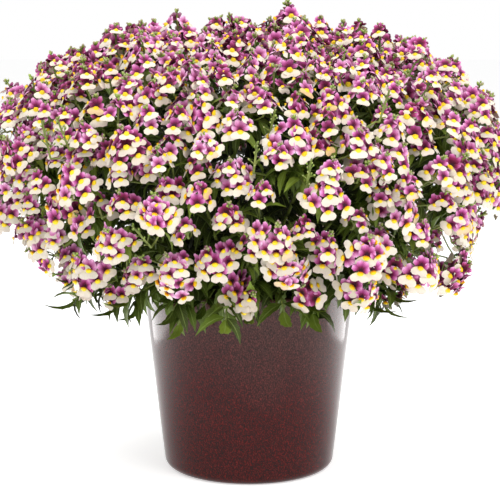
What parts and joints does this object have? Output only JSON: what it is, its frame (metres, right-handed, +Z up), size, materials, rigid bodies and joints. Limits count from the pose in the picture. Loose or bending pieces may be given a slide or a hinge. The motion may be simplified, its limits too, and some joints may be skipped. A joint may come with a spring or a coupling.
{
  "type": "potted nemesia",
  "caption": "Round-headed flowering bedding plant, a dome of small two-lipped blooms on branching stems over toothed leaves, in a tapered glazed pot.",
  "frame": {"origin": "middle of the pot's foot, on the ground", "axes": "+Z up along the pot's axis, X along the dome's widest extent, -Y towards the viewer of the picture"},
  "size_m": [0.5182, 0.5026, 0.4621],
  "materials": {
    "glaze": "glossy mottled oxblood glaze on stoneware",
    "soil": "loose dark bark and peat potting soil",
    "blooms": "soft satin petals, mauve over cream lips with a yellow palate",
    "foliage": "satin green leaves"
  },
  "bodies": {
    "root": {"pot": "glaze", "soil": "soil", "spray_01": "blooms", "spray_02": "blooms", "spray_03": "blooms", "spray_04": "blooms", "spray_05": "blooms", "spray_06": "blooms", "spray_07": "blooms", "spray_08": "blooms", "spray_09": "blooms", "spray_10": "blooms", "spray_11": "blooms", "spray_12": "blooms", "spray_13": "blooms", "spray_14": "blooms", "spray_15": "blooms", "spray_16": "blooms", "spray_17": "blooms", "spray_18": "blooms", "spray_19": "blooms", "spray_20": "blooms", "spray_21": "blooms", "spray_22": "blooms", "spray_23": "blooms", "spray_24": "blooms", "spray_25": "blooms", "spray_26": "blooms", "spray_27": "blooms", "spray_28": "blooms", "spray_29": "blooms", "spray_30": "blooms", "spray_31": "blooms", "spray_32": "blooms", "spray_33": "blooms", "spray_34": "blooms", "spray_35": "blooms", "spray_36": "blooms", "shoot_01": "foliage", "shoot_02": "foliage", "shoot_03": "foliage", "shoot_04": "foliage", "shoot_05": "foliage", "shoot_06": "foliage", "shoot_07": "foliage", "shoot_08": "foliage", "shoot_09": "foliage", "shoot_10": "foliage", "shoot_11": "foliage", "shoot_12": "foliage", "shoot_13": "foliage", "shoot_14": "foliage"}
  },
  "joints": []
}
